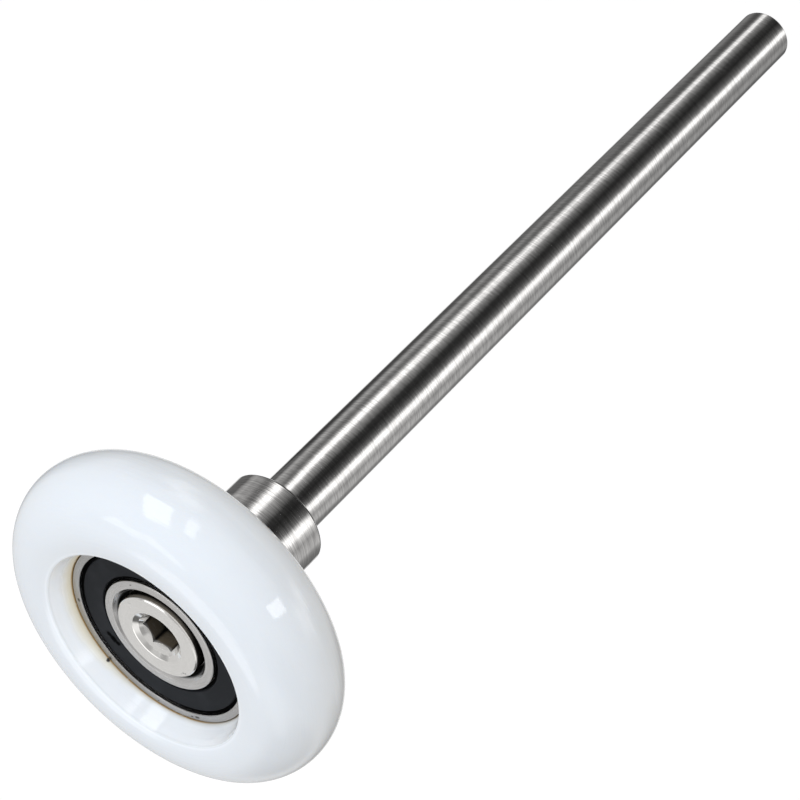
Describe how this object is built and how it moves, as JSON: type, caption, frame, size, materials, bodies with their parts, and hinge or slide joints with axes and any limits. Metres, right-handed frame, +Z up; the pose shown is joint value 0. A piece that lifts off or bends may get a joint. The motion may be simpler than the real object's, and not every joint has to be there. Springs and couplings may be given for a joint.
{
  "type": "garage door roller",
  "caption": "Garage door roller: a full-round nylon wheel on a sealed ball bearing, carried by a collar and a long plain steel stem, with a flat-headed hex socket screw.",
  "frame": {"origin": "middle of the wheel, on the axle", "axes": "+Y along the axle from the wheel's front to the stem's free end, +Z up, +X completes the frame; the wheel's front, with the screw's head, faces -Y"},
  "size_m": [0.061, 0.199, 0.061],
  "materials": {
    "nylon": "polished natural nylon",
    "ring_steel": "ground",
    "ball_steel": "polished",
    "cage_steel": "pressed",
    "seal_rubber": "satin black",
    "insert_steel": "rolled",
    "turned_steel": "fine turned",
    "screw_steel": "satin"
  },
  "bodies": {
    "axle": {"stem": "turned_steel", "collar": "turned_steel", "retaining_screw": "screw_steel", "bearing_inner_ring": "ring_steel"},
    "wheel": {"wheel_tyre": "nylon", "bearing_outer_ring": "ring_steel", "front_seal": "seal_rubber", "front_seal_insert": "insert_steel", "rear_seal": "seal_rubber", "rear_seal_insert": "insert_steel"},
    "cage": {"cage_front": "cage_steel", "cage_rear": "cage_steel", "cage_rivets": "cage_steel"},
    "ball_1": {"ball_1": "ball_steel"},
    "ball_2": {"ball_2": "ball_steel"},
    "ball_3": {"ball_3": "ball_steel"},
    "ball_4": {"ball_4": "ball_steel"},
    "ball_5": {"ball_5": "ball_steel"},
    "ball_6": {"ball_6": "ball_steel"},
    "ball_7": {"ball_7": "ball_steel"},
    "ball_8": {"ball_8": "ball_steel"},
    "ball_9": {"ball_9": "ball_steel"},
    "ball_10": {"ball_10": "ball_steel"}
  },
  "joints": [
    {"name": "wheel_spin", "type": "hinge", "parent": "axle", "child": "wheel", "pos_m": [0, 0, 0], "axis": [0, 1, 0], "continuous": true},
    {"name": "cage_orbit", "type": "hinge", "parent": "axle", "child": "cage", "pos_m": [0, 0.00075, 0], "axis": [0, 1, 0], "continuous": true},
    {"name": "ball_1_spin", "type": "hinge", "parent": "cage", "child": "ball_1", "pos_m": [0.013, 0.00075, 0], "axis": [0, 1, 0], "continuous": true},
    {"name": "ball_2_spin", "type": "hinge", "parent": "cage", "child": "ball_2", "pos_m": [0.01052, 0.00075, 0.00764], "axis": [0, 1, 0], "continuous": true},
    {"name": "ball_3_spin", "type": "hinge", "parent": "cage", "child": "ball_3", "pos_m": [0.00402, 0.00075, 0.01236], "axis": [0, 1, 0], "continuous": true},
    {"name": "ball_4_spin", "type": "hinge", "parent": "cage", "child": "ball_4", "pos_m": [-0.00402, 0.00075, 0.01236], "axis": [0, 1, 0], "continuous": true},
    {"name": "ball_5_spin", "type": "hinge", "parent": "cage", "child": "ball_5", "pos_m": [-0.01052, 0.00075, 0.00764], "axis": [0, 1, 0], "continuous": true},
    {"name": "ball_6_spin", "type": "hinge", "parent": "cage", "child": "ball_6", "pos_m": [-0.013, 0.00075, 0], "axis": [0, 1, 0], "continuous": true},
    {"name": "ball_7_spin", "type": "hinge", "parent": "cage", "child": "ball_7", "pos_m": [-0.01052, 0.00075, -0.00764], "axis": [0, 1, 0], "continuous": true},
    {"name": "ball_8_spin", "type": "hinge", "parent": "cage", "child": "ball_8", "pos_m": [-0.00402, 0.00075, -0.01236], "axis": [0, 1, 0], "continuous": true},
    {"name": "ball_9_spin", "type": "hinge", "parent": "cage", "child": "ball_9", "pos_m": [0.00402, 0.00075, -0.01236], "axis": [0, 1, 0], "continuous": true},
    {"name": "ball_10_spin", "type": "hinge", "parent": "cage", "child": "ball_10", "pos_m": [0.01052, 0.00075, -0.00764], "axis": [0, 1, 0], "continuous": true}
  ],
  "couplings": [
    {"joint": "cage_orbit", "follows": "wheel_spin", "ratio": 0.59158},
    {"joint": "ball_1_spin", "follows": "wheel_spin", "ratio": 2.6384},
    {"joint": "ball_2_spin", "follows": "wheel_spin", "ratio": 2.6384},
    {"joint": "ball_3_spin", "follows": "wheel_spin", "ratio": 2.6384},
    {"joint": "ball_4_spin", "follows": "wheel_spin", "ratio": 2.6384},
    {"joint": "ball_5_spin", "follows": "wheel_spin", "ratio": 2.6384},
    {"joint": "ball_6_spin", "follows": "wheel_spin", "ratio": 2.6384},
    {"joint": "ball_7_spin", "follows": "wheel_spin", "ratio": 2.6384},
    {"joint": "ball_8_spin", "follows": "wheel_spin", "ratio": 2.6384},
    {"joint": "ball_9_spin", "follows": "wheel_spin", "ratio": 2.6384},
    {"joint": "ball_10_spin", "follows": "wheel_spin", "ratio": 2.6384}
  ]
}
